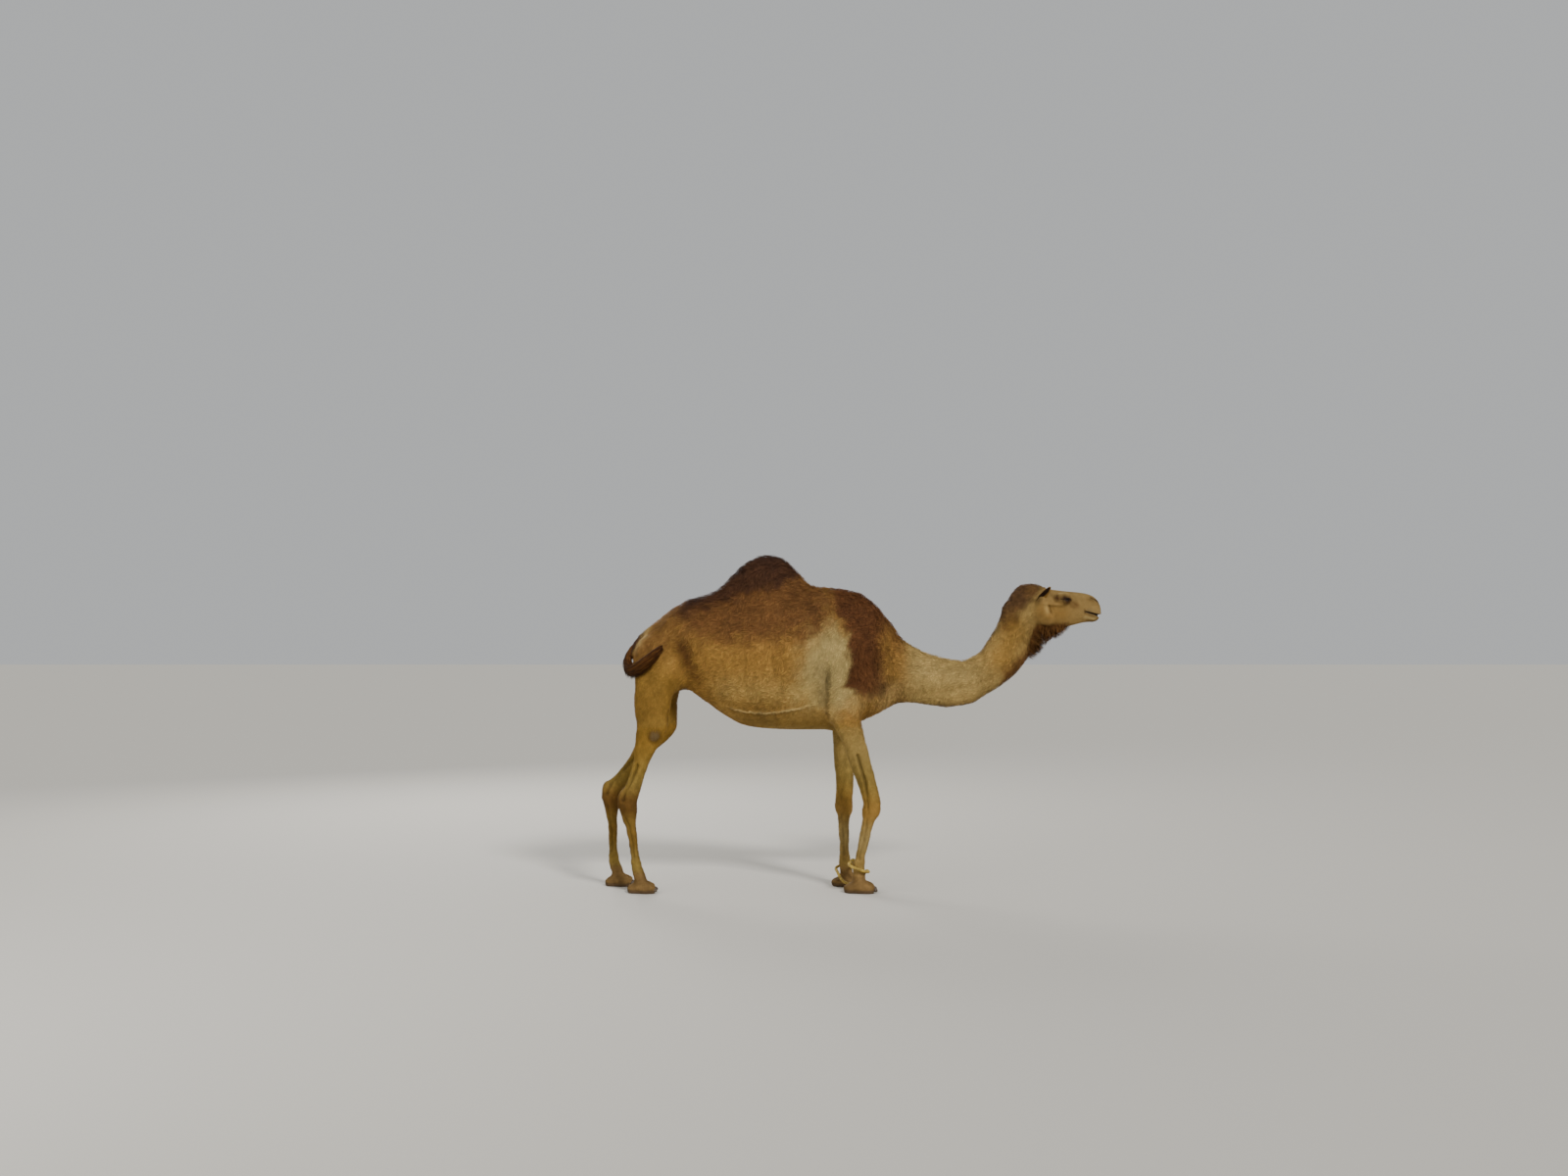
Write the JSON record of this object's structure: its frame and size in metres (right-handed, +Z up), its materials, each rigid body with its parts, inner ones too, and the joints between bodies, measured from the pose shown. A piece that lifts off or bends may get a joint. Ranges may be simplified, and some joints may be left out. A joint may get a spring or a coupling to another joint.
{
  "type": "standing dromedary camel",
  "caption": "Life-size still model of a standing one-humped camel with short coat, woolly hump and shoulders, and a rope hobble on its forelegs.",
  "frame": {"origin": "on the floor, under the middle of the whole box", "axes": "+X towards the muzzle, +Y to the animal's left, +Z up"},
  "size_m": [2.99, 0.5504, 1.9909],
  "materials": {
    "coat": "short dense tan hair, darker and woolly on the hump, shoulders and poll",
    "skin": "hide under the coat, bare and leathery on the pads",
    "dark_hair": "long dark brown hair",
    "eye": "wet dark brown eye",
    "nail": "dull horn",
    "rope": "twisted yellow rope, worn"
  },
  "bodies": {
    "root": {"head": "coat", "lower_jaw": "coat", "neck_upper": "coat", "neck_lower": "coat", "trunk": "coat", "hump": "coat", "tail": "coat", "ear_right": "coat", "ear_left": "coat", "fore_right_forearm": "coat", "fore_right_cannon": "coat", "fore_left_forearm": "coat", "fore_left_cannon": "coat", "hind_right_thigh": "coat", "hind_right_gaskin": "coat", "hind_right_cannon": "coat", "hind_left_thigh": "coat", "hind_left_gaskin": "coat", "hind_left_cannon": "coat", "fore_right_foot": "skin", "fore_left_foot": "skin", "hind_right_foot": "skin", "hind_left_foot": "skin", "beard": "dark_hair", "tail_tuft": "dark_hair", "eye_right": "eye", "eye_left": "eye", "nail_fore_right_a": "nail", "nail_fore_right_b": "nail", "nail_fore_left_a": "nail", "nail_fore_left_b": "nail", "nail_hind_right_a": "nail", "nail_hind_right_b": "nail", "nail_hind_left_a": "nail", "nail_hind_left_b": "nail", "hobble_rope": "rope"}
  },
  "joints": []
}
